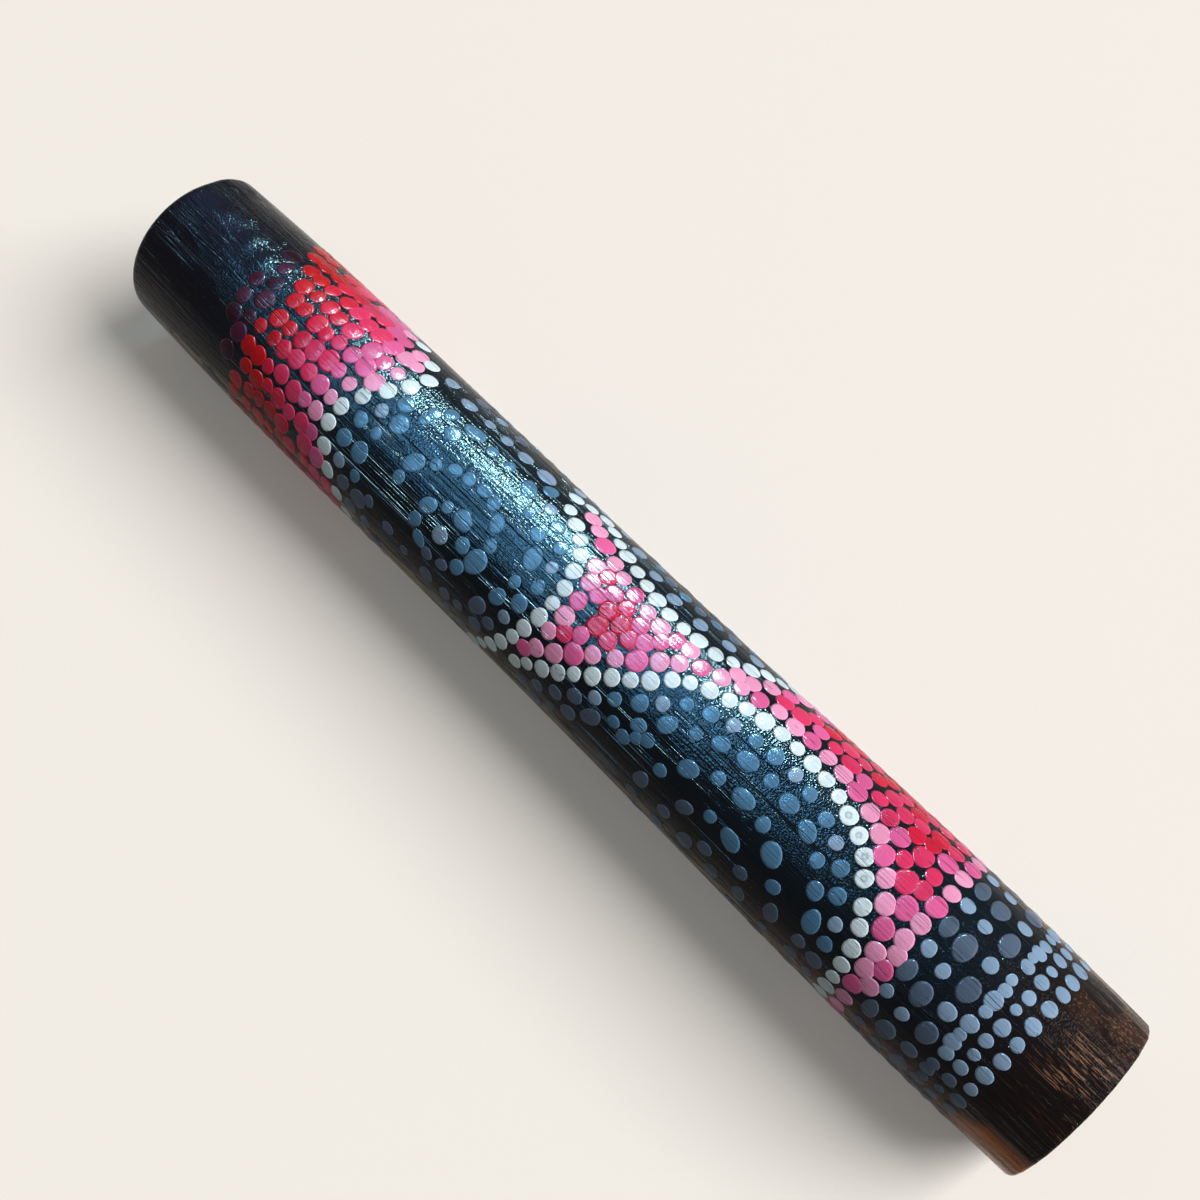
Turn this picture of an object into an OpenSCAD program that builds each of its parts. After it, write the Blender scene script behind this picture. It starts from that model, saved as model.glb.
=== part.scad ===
// Bamboo shaker: a straight length of bamboo, closed at both ends by glued wooden discs,
// with a charge of loose round seeds inside. It lies along X, on the plane z = 0.

/* [Culm] */
// Length of the bamboo, from end face to end face
culm_len = 250; // [180:1:320]
// Outside diameter at the two swells, one near each end
swell_d = 37.6; // [36:0.1:46]
// Outside diameter at the waist between the swells
waist_d = 36.7; // [35:0.1:46]
// Outside diameter at the left end face
left_end_d = 36; // [35:0.1:46]
// Outside diameter at the right end face
right_end_d = 35.4; // [35:0.1:46]
// Distance from the left end face to the left swell
left_swell_at = 43; // [20:1:70]
// Distance from the right end face to the right swell
right_swell_at = 45; // [20:1:70]
// Distance of the waist from the middle of the culm, towards the right end
waist_shift = 12; // [-15:1:15]
// Diameter of the hollow inside the culm
bore_d = 29; // [25:0.1:30]
// Radius of the worn outer rim at each end
rim_r = 1.6; // [0.5:0.1:2]
// Depth of the culm's flatter side, which it lies on without rolling
flat_depth = 0.2; // [0.15:0.05:0.4]

/* [End discs] */
// Thickness of each wooden disc, and depth of the rebate that it is glued into
disc_t = 6; // [3:0.5:10]
// Width of the ledge that each disc seats on
ledge_w = 1; // [0.5:0.1:1.5]
// Room for glue round each disc
glue_gap = 0.1; // [0.05:0.05:0.3]
// Bevel round the inner edge of each disc
disc_bevel = 0.6; // [0.2:0.1:1]

/* [Seeds] */
// Diameter of a seed
seed_d = 5; // [3:0.1:5.5]
// Free room round each seed
seed_gap = 0.3; // [0.2:0.05:0.6]
// Diameter of the scar where the seed grew on its stalk
scar_d = 1.6; // [0.8:0.1:2]
// Depth of that scar
scar_depth = 0.2; // [0.1:0.05:0.3]

/* [Hidden] */
$fn = 96;

// Seeds in each lane of the heap at the left end, one list per layer, the bottom layer first
heap = [[5, 6, 7, 7, 6, 5], [4, 5, 4]];
// Turn between the scars of successive seeds, so that no two point alike
scar_turn = 137.5;
// Cone steps along each end taper and along each flank of the waist
taper_steps = 8;
flank_steps = 14;
// Degrees between the points of a rounded rim
rim_step = 15;

// Places along the culm, measured from its middle
left_x = -culm_len / 2;
right_x = culm_len / 2;
left_swell_x = left_x + left_swell_at;
right_swell_x = right_x - right_swell_at;
waist_x = waist_shift;

// Heights and radii shared by the pieces
widest_d = max(swell_d, waist_d, left_end_d, right_end_d);
axis_z = widest_d / 2 - flat_depth;
bore_r = bore_d / 2;
rebate_r = bore_r + ledge_w;
disc_r = rebate_r - glue_gap;

// Smooth step from 0 to 1
function ease(t) = (1 - cos(180 * t)) / 2;

// Part of the way from a to b
function mix(a, b, t) = a + (b - a) * t;

// Radius of the culm at x: end tapers that steepen outwards, and eased flanks down to the waist
function culm_r(x) =
    (x < left_swell_x) ? mix(swell_d, left_end_d, pow((left_swell_x - x) / left_swell_at, 2)) / 2
    : (x < waist_x) ? mix(swell_d, waist_d, ease((x - left_swell_x) / (waist_x - left_swell_x))) / 2
    : (x < right_swell_x) ? mix(waist_d, swell_d, ease((x - waist_x) / (right_swell_x - waist_x))) / 2
    : mix(swell_d, right_end_d, pow((x - right_swell_x) / right_swell_at, 2)) / 2;

// The rim's radius, never more than most of the wall that is left round the rebate
function rim_at(end_d) = min(rim_r, 0.8 * (end_d / 2 - rebate_r));

left_rim = rim_at(left_end_d);
right_rim = rim_at(right_end_d);

// Points [radius, x] of the outer surface from x0 up to x1, which is left to the next stretch
function stretch(x0, x1, steps) =
    [for (i = [0 : steps - 1]) let (x = mix(x0, x1, i / steps)) [culm_r(x), x]];

// Points of a rounded rim at end_x, where inward is the way from that end into the culm
function rim_arc(end_x, inward, rim) =
    let (mid_x = end_x + inward * rim, mid_r = culm_r(mid_x) - rim)
    [for (a = [0 : rim_step : 90 - rim_step]) [mid_r + rim * sin(a), mid_x - inward * rim * cos(a)]];

function reversed(list) = [for (i = [len(list) - 1 : -1 : 0]) list[i]];

// Half section of the culm: outside from left to right, then back through rebates, ledges and bore
function culm_section() = concat(
    rim_arc(left_x, 1, left_rim),
    stretch(left_x + left_rim, left_swell_x, taper_steps),
    stretch(left_swell_x, waist_x, flank_steps),
    stretch(waist_x, right_swell_x, flank_steps),
    stretch(right_swell_x, right_x - right_rim, taper_steps),
    [[culm_r(right_x - right_rim), right_x - right_rim]],
    reversed(rim_arc(right_x, -1, right_rim)),
    [
        [rebate_r, right_x],
        [rebate_r, right_x - disc_t],
        [bore_r, right_x - disc_t],
        [bore_r, left_x + disc_t],
        [rebate_r, left_x + disc_t],
        [rebate_r, left_x]
    ]
);

// Turns a shape made along Z into one along X, at the height of the culm's axis
module along_culm() {
    translate([0, 0, axis_z]) rotate([0, 90, 0]) children();
}

module bamboo_tube() {
    color([0.08, 0.08, 0.1]) difference() {
        along_culm() rotate_extrude() polygon(culm_section());
        // Everything below the plane that the flatter side lies on
        translate([left_x, -widest_d / 2, -widest_d]) cube([culm_len, widest_d, widest_d]);
    }
}

// One disc with its outer face at end_x, flush with the culm, and its inner face on the ledge
module end_disc(end_x, inward) {
    color([0.2, 0.13, 0.09]) along_culm() rotate_extrude() polygon([
        [0, end_x],
        [disc_r, end_x],
        [disc_r, end_x + inward * (disc_t - disc_bevel)],
        [disc_r - disc_bevel, end_x + inward * disc_t],
        [0, end_x + inward * disc_t]
    ]);
}

// Every seed as [lane, layer, place across the layer, place along the lane]
first_lane = [0, len(heap[0])];
seeds = [
    for (layer = [0 : len(heap) - 1])
        for (across = [0 : len(heap[layer]) - 1])
            for (along = [0 : heap[layer][across] - 1])
                [first_lane[layer] + across, layer, across, along]
];
function seed_name(s) = str("seed_", chr(97 + s[0]), s[3] + 1);

// Layers lie one inside another, and lanes side by side in a layer, each a seed and its room apart
seed_step = seed_d + seed_gap;
function layer_r(layer) = bore_r - seed_gap - seed_d / 2 - layer * seed_step;
function lane_turn(layer) = 2 * asin(seed_step / (2 * layer_r(layer)));
function lane_angle(s) = (s[2] - (len(heap[s[1]]) - 1) / 2) * lane_turn(s[1]);

// Every other lane is set half a step on, as seeds settle between their neighbours
function seed_x(s) =
    left_x + disc_t + seed_gap + seed_d / 2 + (s[3] + (s[0] % 2) / 2) * seed_step;

// One seed at its place in the heap, with its scar turned its own way
module seed(s) {
    scar_ball = scar_d / 2;
    ball_off = seed_d / 2 + scar_ball - scar_depth;
    color([0.24, 0.15, 0.1])
    translate([seed_x(s), 0, axis_z])
    rotate([lane_angle(s), 0, 0])
    translate([0, 0, -layer_r(s[1])])
    rotate([0, 0, scar_turn * (s[0] + s[3])])
    difference() {
        sphere(d = seed_d);
        translate([-ball_off, 0, 0]) sphere(r = scar_ball);
    }
}

bamboo_tube();
end_disc(left_x, 1);  // left_end_disc
end_disc(right_x, -1);  // right_end_disc
for (s = seeds) {
    seed(s);
}
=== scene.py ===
"""Looks of the bamboo shaker: lacquered culm, dabbed ornament, end discs and seeds.

Everything is in metres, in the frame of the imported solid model. The ornament is planned on the
unrolled culm, in millimetres along it and degrees round it, and then laid on the culm's surface.
"""

import itertools
import logging
import math
import random
from abc import ABC, abstractmethod
from collections.abc import Iterable, Sequence
from dataclasses import dataclass
from enum import Enum
from functools import partial, reduce

import bmesh
import bpy
import numpy as np
from mathutils import Matrix, Vector, noise

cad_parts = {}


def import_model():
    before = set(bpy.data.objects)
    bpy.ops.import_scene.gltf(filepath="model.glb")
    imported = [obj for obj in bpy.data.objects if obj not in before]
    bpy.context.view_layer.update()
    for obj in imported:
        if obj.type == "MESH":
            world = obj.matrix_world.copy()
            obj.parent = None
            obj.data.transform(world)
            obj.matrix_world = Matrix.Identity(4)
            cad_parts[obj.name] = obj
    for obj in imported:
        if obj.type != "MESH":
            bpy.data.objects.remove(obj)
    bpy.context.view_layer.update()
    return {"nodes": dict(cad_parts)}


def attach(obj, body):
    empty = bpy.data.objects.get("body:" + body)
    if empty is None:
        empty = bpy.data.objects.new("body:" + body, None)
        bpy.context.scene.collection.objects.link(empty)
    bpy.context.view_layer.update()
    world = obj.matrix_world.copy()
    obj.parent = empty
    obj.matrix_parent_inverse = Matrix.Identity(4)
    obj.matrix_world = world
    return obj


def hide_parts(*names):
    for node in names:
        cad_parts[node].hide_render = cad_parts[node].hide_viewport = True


LOG = logging.getLogger("shaker")

MM = 0.001
SEED = 20
BODY = "tube"

# Distance under which two points of a mesh are one
TOUCH = 1e-7
# Mark of a dab's shoulder in its pool attribute, where the rim is marked 1 and the middle 0
POOL_EDGE = 0.86

Colour = tuple[float, float, float]
Stop = tuple[float, float]
Stops = tuple[Stop, ...]
BMesh = bmesh.types.BMesh
BMVert = bmesh.types.BMVert
Material = bpy.types.Material
Node = bpy.types.Node
NodeTree = bpy.types.NodeTree
Object = bpy.types.Object
Socket = bpy.types.NodeSocket
Surface = tuple[Socket, Socket, Socket]


def ease(t: float) -> float:
    """Smooth step from 0 to 1 for t from 0 to 1, held outside that range."""
    return (1 - math.cos(math.pi * min(max(t, 0.0), 1.0))) / 2


def mix(a: float, b: float, t: float) -> float:
    """Part t of the way from a to b."""
    return a + (b - a) * t


def window(value: float, low: float, high: float, soft: float) -> float:
    """Weight that is 0 outside two limits and grows to 1 over a soft width inside them."""
    return ease(min(value - low, high - value) / soft)


def scaled(colour: Colour, factor: float) -> Colour:
    """The colour made darker or lighter by a factor."""
    return tuple(c * factor for c in colour)


def rgba(colour: Colour) -> tuple[float, float, float, float]:
    """The colour with a full alpha."""
    return (*colour, 1.0)


class Paint(Enum):
    """Paints of the ornament: each value is the record's slot and the linear colour."""

    PLUM = ("paint_plum", (0.066, 0.010, 0.036))
    RED = ("paint_red", (0.520, 0.005, 0.010))
    CRIMSON = ("paint_crimson", (0.620, 0.011, 0.048))
    ROSE = ("paint_rose", (0.720, 0.036, 0.135))
    PINK = ("paint_pink", (0.740, 0.120, 0.340))
    LIGHT_PINK = ("paint_light_pink", (0.880, 0.345, 0.580))
    WHITE = ("paint_white", (0.680, 0.845, 0.940))
    PALE_BLUE = ("paint_pale_blue", (0.235, 0.362, 0.530))
    BLUE = ("paint_blue", (0.080, 0.212, 0.370))
    SLATE = ("paint_slate", (0.085, 0.128, 0.200))

    @property
    def slot(self) -> str:
        """Material slot of the record that this paint belongs to."""
        return self.value[0]

    @property
    def colour(self) -> Colour:
        """Linear colour of the paint."""
        return self.value[1]


class Dab(Enum):
    """Forms that a drop of paint dries to."""

    DOMED = "domed"
    DIMPLED = "dimpled"


class NodeBench:
    """Adds nodes to one node tree and joins them up."""

    def __init__(self, tree: NodeTree) -> None:
        """Keeps the tree that is worked on."""
        self.tree = tree

    def fill(self, node: Node, inputs: dict) -> None:
        """Links sockets into a node's inputs, by name or number, and sets the others to plain values."""
        for key, value in inputs.items():
            if isinstance(value, Socket):
                self.tree.links.new(value, node.inputs[key])
            else:
                node.inputs[key].default_value = value

    def add(self, kind: str, inputs: dict | None = None, **settings: object) -> Node:
        """Adds one node.

        Args:
            kind: Blender's type name of the node.
            inputs: Values or sockets for its inputs, by name or number.
            **settings: Properties of the node itself.

        Returns:
            The new node.
        """
        node = self.tree.nodes.new(kind)
        for name, value in settings.items():
            setattr(node, name, value)
        self.fill(node, inputs or {})
        return node

    def math(self, operation: str, a: object, b: object = 0.0) -> Socket:
        """Adds a Math node and returns its output."""
        return self.add("ShaderNodeMath", {0: a, 1: b}, operation=operation).outputs[0]

    def product(self, *factors: object) -> Socket:
        """Product of several masks or values."""
        return reduce(partial(self.math, "MULTIPLY"), factors)

    def total(self, *terms: object) -> Socket:
        """Sum of several values."""
        return reduce(partial(self.math, "ADD"), terms)

    def ramp(self, value: object, low: float, high: float, to: Stop = (0.0, 1.0)) -> Socket:
        """Maps a value smoothly from a range that is read to the values given out at its two ends."""
        inputs = {"Value": value, "From Min": low, "From Max": high, "To Min": to[0], "To Max": to[1]}
        return self.add("ShaderNodeMapRange", inputs, interpolation_type="SMOOTHSTEP").outputs["Result"]

    def blend(self, factor: object, a: object, b: object) -> Socket:
        """Mixes two colours, each a socket or a linear colour, with a factor for the second."""
        first, second = (rgba(c) if isinstance(c, tuple) else c for c in (a, b))
        return self.add("ShaderNodeMix", {0: factor, 6: first, 7: second}, data_type="RGBA").outputs[2]

    def layers(self, colour: object, *layers: tuple[object, float, Colour]) -> Socket:
        """Lays colours over a first one, each with its mask, the share that covers, and the colour."""
        for mask, share, over in layers:
            colour = self.blend(self.product(mask, share), colour, over)
        return colour

    def noise(
        self, along: float, cells: float, octaves: float = 2.0, twist: float = 0.0, across: float = 1.0,
    ) -> Socket:
        """Adds noise on Object coordinates.

        Args:
            along: Scale along the culm, under 1 for a pattern that is drawn out.
            cells: Noise cells per metre.
            octaves: Octaves of finer noise.
            twist: How far the pattern is twisted by itself.
            across: Scale across the culm.

        Returns:
            The noise value.
        """
        place = self.add("ShaderNodeTexCoord").outputs["Object"]
        mapping = self.add("ShaderNodeMapping", {"Vector": place, "Scale": (along, across, across)})
        inputs = {"Vector": mapping.outputs[0], "Scale": cells, "Detail": octaves, "Distortion": twist}
        return self.add("ShaderNodeTexNoise", inputs).outputs["Fac"]

    def axes(self, axis_z: float) -> tuple[Socket, ...]:
        """Object coordinates with their height measured from the culm's axis."""
        place = self.add("ShaderNodeTexCoord").outputs["Object"]
        split = self.add("ShaderNodeSeparateXYZ", {0: place}).outputs
        return split["X"], split["Y"], self.math("SUBTRACT", split["Z"], axis_z)

    def seen(self) -> Socket:
        """Mask that is 1 where a thing is looked at, plainly or mirrored, and 0 where it lights others."""
        path = self.add("ShaderNodeLightPath").outputs
        mirrored = self.math("MAXIMUM", path["Is Glossy Ray"], path["Is Transmission Ray"])
        return self.math("MAXIMUM", path["Is Camera Ray"], mirrored)


def new_material(name: str) -> tuple[Material, NodeBench, Node]:
    """Starts a material, and returns it with a bench on its node tree and its Principled shader."""
    material = bpy.data.materials.new(name)
    material.use_nodes = True
    bench = NodeBench(material.node_tree)
    return material, bench, material.node_tree.nodes["Principled BSDF"]


class Finish(ABC):
    """A material of the object: each kind plans its surface, and the base puts it on the shader."""

    name = "finish"
    specular = 0.05
    bump_strength = 1.0
    bump_depth = 0.00030

    @abstractmethod
    def surface(self, bench: NodeBench) -> Surface:
        """Plans the colour, the roughness and the height of the surface."""

    def build(self) -> Material:
        """Makes the material."""
        material, bench, shader = new_material(self.name)
        colour, roughness, height = self.surface(bench)
        bump = bench.add("ShaderNodeBump", {
            "Strength": self.bump_strength,
            "Distance": self.bump_depth,
            "Height": height,
        })
        bench.fill(shader, {
            "Base Color": colour,
            "Roughness": roughness,
            "Specular IOR Level": self.specular,
            "Normal": bump.outputs["Normal"],
        })
        return material


@dataclass(frozen=True)
class Split:
    """A long split in the skin: degrees from +Y towards +Z, and where it starts and ends along X."""

    angle: float
    start: float
    end: float


@dataclass(frozen=True)
class BambooGrain:
    """Fibre pattern that lacquer and paint share, so that it runs on under every dab."""

    axis_z: float
    fibre_length: float = 40.0
    split_width: float = 0.011
    split_tips: Stop = (0.004, 0.006)
    sway: float = 0.10
    splits: tuple[Split, ...] = (
        Split(111.1, -0.130, -0.099),
        Split(101.2, -0.121, -0.083),
        Split(104.0, -0.094, -0.076),
        Split(95.6, -0.092, -0.060),
        Split(95.9, -0.030, 0.017),
    )

    def build(self) -> NodeTree:
        """Builds the node group.

        Returns:
            A group that gives long fibres, short sparkling grain, sparse cuts and broad mottling.
        """
        tree = bpy.data.node_groups.new("bamboo_grain", "ShaderNodeTree")
        tree.interface.new_socket("Cut Width", in_out="INPUT", socket_type="NodeSocketFloat")
        for name in ("Fibre", "Grain", "Cut", "Mottle"):
            tree.interface.new_socket(name, in_out="OUTPUT", socket_type="NodeSocketFloat")
        bench = NodeBench(tree)
        cut_width = bench.add("NodeGroupInput").outputs["Cut Width"]
        off_line = bench.math("ABSOLUTE", bench.math("SUBTRACT", bench.noise(0.012, 1000.0, 1.0), 0.5))
        near_line = bench.math("SUBTRACT", 1.0, bench.math("DIVIDE", off_line, cut_width))
        broken = bench.ramp(bench.noise(0.12, 260.0), 0.42, 0.56)
        cut = bench.product(bench.math("MAXIMUM", near_line, 0.0), broken)
        bench.add("NodeGroupOutput", {
            "Fibre": bench.noise(1 / self.fibre_length, 1900.0, 1.0),
            "Grain": bench.noise(0.75, 3400.0, 0.0),
            "Cut": bench.math("MAXIMUM", cut, self.split_lines(bench)),
            "Mottle": bench.noise(0.45, 150.0, 4.0),
        })
        return tree

    def split_lines(self, bench: NodeBench) -> Socket:
        """Draws the long splits, as a mask that is 1 in the middle of each."""
        x, y, rise = bench.axes(self.axis_z)
        drift = bench.math("SUBTRACT", bench.noise(1.0, 110.0, 3.0, across=0.0), 0.5)
        angle = bench.total(bench.math("ARCTAN2", rise, y), bench.product(drift, self.sway))
        lines = 0.0
        for split in self.splits:
            off = bench.math("ABSOLUTE", bench.math("SUBTRACT", angle, math.radians(split.angle)))
            line = bench.product(
                bench.ramp(off, self.split_width, 0.0),
                bench.ramp(x, split.start, split.start + self.split_tips[0]),
                bench.ramp(x, split.end, split.end - self.split_tips[1]),
            )
            lines = bench.math("MAXIMUM", lines, line)
        return lines


@dataclass(frozen=True)
class GrainedFinish(Finish):
    """Base of the finishes that the bamboo's grain shows through."""

    grain: NodeTree

    cut_width = 0.030
    mottle_range = (0.3, 0.7)
    rough_range = (0.10, 0.16)
    weights = (("Fibre", 0.38), ("Grain", 0.22), ("Mottle", 0.2), ("Cut", -0.5))

    def skin(self, bench: NodeBench) -> dict[str, Socket]:
        """Places the shared grain, and returns its patterns by name."""
        node = bench.add("ShaderNodeGroup", {"Cut Width": self.cut_width}, node_tree=self.grain)
        return dict(node.outputs.items())

    def roughness(self, bench: NodeBench, skin: dict[str, Socket]) -> Socket:
        """Roughness that varies with the grain's mottling."""
        return bench.ramp(skin["Mottle"], *self.mottle_range, self.rough_range)

    def relief(self, bench: NodeBench, skin: dict[str, Socket]) -> Socket:
        """Height of the grain, with each of its patterns at its own weight."""
        return bench.total(*(bench.product(skin[name], weight) for name, weight in self.weights))


class Measure(Enum):
    """What the lacquer's coats and ridges are read on: places on the culm, its fibres, and noise.

    The value of a noise is its scale along the culm, its cells per metre, its octaves and its twist.
    """

    ALONG = "along"
    ACROSS = "across"
    RISE = "rise"
    RAGGED_ALONG = "ragged along"
    UNDER_WEAR = "under wear"
    FIBRE = "fibre"
    SOFT_BLOTCH = "soft blotch"
    BLOTCH = (0.7, 200.0, 5.0, 0.5)
    STREAK = (0.08, 300.0, 3.0, 0.0)
    SPARKLE = (0.7, 2400.0, 1.0, 0.0)
    DASH = (0.10, 5200.0, 0.0, 0.0)
    PATCH = (0.5, 210.0, 2.0, 0.0)
    FLAKE = (0.14, 620.0, 5.0, 0.8)
    BARK_RIDGE = (0.25, 430.0, 4.0, 0.7)
    END_RIDGE = (0.06, 800.0, 3.0, 0.0)


@dataclass(frozen=True)
class Limit:
    """Soft limit of a coat: it starts to show at one value of a measure, and shows in full at another."""

    measure: Measure
    start: float
    full: float
    shares: Stop = (0.0, 1.0)

    def mask(self, bench: NodeBench, measures: dict[Measure, Socket]) -> Socket:
        """Mask of the places inside the limit."""
        return bench.ramp(measures[self.measure], self.start, self.full, self.shares)


@dataclass(frozen=True)
class Coat:
    """One colour of the lacquer, which shows inside all of its limits and covers a share there."""

    colour: Colour
    limits: tuple[Limit, ...]
    share: float = 1.0


x_limit = partial(Limit, Measure.ALONG)
y_limit = partial(Limit, Measure.ACROSS)
rise_limit = partial(Limit, Measure.RISE)

BRONZE = (0.300, 0.150, 0.078)
BARK = x_limit(-0.086, -0.106)
RIGHT_END = x_limit(0.090, 0.116)
HIGH_SIDE = rise_limit(0.006, 0.015, (0.35, 1.0))
BLOTCHES = Limit(Measure.BLOTCH, 0.44, 0.56)
SOFT_BLOTCHES = Limit(Measure.SOFT_BLOTCH, 0.0, 1.0, (0.35, 1.0))
STREAKS = Limit(Measure.STREAK, 0.25, 0.60, (0.20, 1.0))
THIN_END = (x_limit(0.106, 0.115), y_limit(0.002, 0.011), BLOTCHES)
# Place of the painted bronze glints on the right end
GLINT_END = (x_limit(0.110, 0.119), y_limit(0.007, 0.002), y_limit(-0.0125, -0.008))
GLINTS = (Limit(Measure.FIBRE, 0.48, 0.60), Limit(Measure.DASH, 0.50, 0.62), Limit(Measure.PATCH, 0.36, 0.54))
LOW_SIDE = (y_limit(-0.004, -0.012), rise_limit(-0.014, -0.007))
WEAR = (Limit(Measure.UNDER_WEAR, -0.002, 0.0028), Limit(Measure.RAGGED_ALONG, 0.106, 0.120), STREAKS)
# Band along the low outline where the floor's reflection is painted as straw colour
FLOOR_REFLECTION_STRIP = (
    rise_limit(0.0058, 0.0010),
    rise_limit(-0.0056, -0.0028),
    x_limit(-0.1245, -0.1215),
    x_limit(0.100, 0.090),
)
FLAKES = (Limit(Measure.FLAKE, 0.42, 0.60), x_limit(-0.060, -0.100, (0.5, 0.8)))


@dataclass(frozen=True)
class LacquerFinish(GrainedFinish):
    """Dark lacquer over burnt bamboo: blue-black on top as a painted sheen, worn to brown and amber at the
    right end, with painted bronze glints there.
    """

    axis_z: float
    soot: Colour = (0.0034, 0.0026, 0.0024)
    ragged: float = 0.009
    wear_x: float = 0.105
    wear_slope: float = 0.66
    wear_rise: float = 0.0073
    end_height: float = 0.9
    coats: tuple[Coat, ...] = (
        # Blue-black top, a painted blue sheen on the side that faces up, navy bark at the left end and
        # scorched right end
        Coat((0.0040, 0.0090, 0.0150), (rise_limit(0.002, 0.017),)),
        Coat((0.0040, 0.0038, 0.0085), (BARK,)),
        Coat((0.0110, 0.0058, 0.0050), (RIGHT_END,), 0.9),
        # Brown where the lacquer is thin, then a bronze edge, and bronze sparkle on the brown and glints
        # along the fibres, which are painted highlights
        Coat((0.036, 0.017, 0.011), THIN_END),
        Coat(BRONZE, (x_limit(0.070, 0.100), y_limit(0.0140, 0.0172), SOFT_BLOTCHES, STREAKS), 0.60),
        Coat(BRONZE, (*THIN_END, Limit(Measure.SPARKLE, 0.54, 0.68)), 0.5),
        Coat(BRONZE, (*GLINT_END, *GLINTS), 0.75),
        # Rust and worn amber on the low side, and a flaking straw-coloured strip along the low outline, a
        # painted reflection of the pale floor there
        Coat((0.060, 0.021, 0.012), (*LOW_SIDE, rise_limit(0.0085, 0.0045), x_limit(0.055, 0.085))),
        Coat((0.460, 0.130, 0.018), (*LOW_SIDE, *WEAR)),
        Coat((0.600, 0.490, 0.290), (*LOW_SIDE, *FLOOR_REFLECTION_STRIP, *FLAKES)),
    )

    name = "lacquered_bamboo"

    def measures(self, bench: NodeBench, fibre: Socket) -> dict[Measure, Socket]:
        """Works out what the coats' limits are read on.

        Args:
            bench: Bench on the material's node tree.
            fibre: Fibre pattern of the skin.

        Returns:
            A socket for every measure.
        """
        x, y, rise = bench.axes(self.axis_z)
        worn_to = bench.product(bench.math("SUBTRACT", x, self.wear_x), self.wear_slope)
        worn_to = bench.math("MINIMUM", worn_to, self.wear_rise)
        found = {one: bench.noise(*one.value) for one in Measure if isinstance(one.value, tuple)}
        found |= {Measure.ALONG: x, Measure.ACROSS: y, Measure.RISE: rise, Measure.FIBRE: fibre}
        found[Measure.UNDER_WEAR] = bench.math("SUBTRACT", worn_to, rise)
        found[Measure.SOFT_BLOTCH] = BLOTCHES.mask(bench, found)
        found[Measure.RAGGED_ALONG] = bench.total(x, bench.product(STREAKS.mask(bench, found), self.ragged))
        return found

    def surface(self, bench: NodeBench) -> Surface:
        """Plans the coats of lacquer, and the bark, the rough right end and the grain under them."""
        skin = self.skin(bench)
        measures = self.measures(bench, skin["Fibre"])

        def within(*limits: Limit) -> Socket:
            """Mask of the places inside all of some limits."""
            return bench.product(*(limit.mask(bench, measures) for limit in limits))

        layers = [(within(*coat.limits), coat.share, coat.colour) for coat in self.coats]
        bark = bench.product(measures[Measure.BARK_RIDGE], within(BARK, HIGH_SIDE))
        rough_end = bench.product(measures[Measure.END_RIDGE], within(RIGHT_END), self.end_height)
        height = bench.total(bark, rough_end, self.relief(bench, skin))
        return bench.layers(self.soot, *layers), self.roughness(bench, skin), height


@dataclass(frozen=True)
class PaintFinish(GrainedFinish):
    """One paint of the ornament: pooled lighter rims, uneven cover, and the grain showing through."""

    paint: Paint
    bare: Colour = (0.010, 0.012, 0.016)
    deep_share: float = 0.82
    deep_plum_share: float = 0.25
    light_gain: float = 1.15
    light_lift: float = 0.03
    light_limit: float = 0.92
    light_share: float = 0.25
    cloud_range: Stop = (0.35, 0.75)
    cut_share: float = 0.6

    bump_depth = 0.00026
    cut_width = 0.022
    rough_range = (0.11, 0.19)
    weights = (("Fibre", 0.36), ("Grain", 0.12), ("Cut", -0.45))

    @property
    def name(self) -> str:
        """The paint's slot, which names the material too."""
        return self.paint.slot

    def surface(self, bench: NodeBench) -> Surface:
        """Plans the paint, whose tone, pooled rim and thin places are marked on each dab."""
        skin = self.skin(bench)
        tone, pool, thin = (
            bench.add("ShaderNodeAttribute", attribute_name=name).outputs["Fac"]
            for name in ("tone", "pool", "thin")
        )
        plain = self.paint.colour
        light = tuple(min(self.light_gain * c + self.light_lift, self.light_limit) for c in plain)
        deep = scaled(plain, self.deep_plum_share if self.paint is Paint.PLUM else self.deep_share)
        colour = bench.layers(
            deep,
            (tone, 1.0, plain),
            (bench.ramp(skin["Mottle"], *self.cloud_range), self.light_share, light),
            (bench.ramp(pool, POOL_EDGE, 1.0), self.light_share, light),
            (skin["Cut"], self.cut_share, self.bare),
            (thin, 1.0, self.bare),
        )
        return colour, self.roughness(bench, skin), self.relief(bench, skin)


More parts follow.
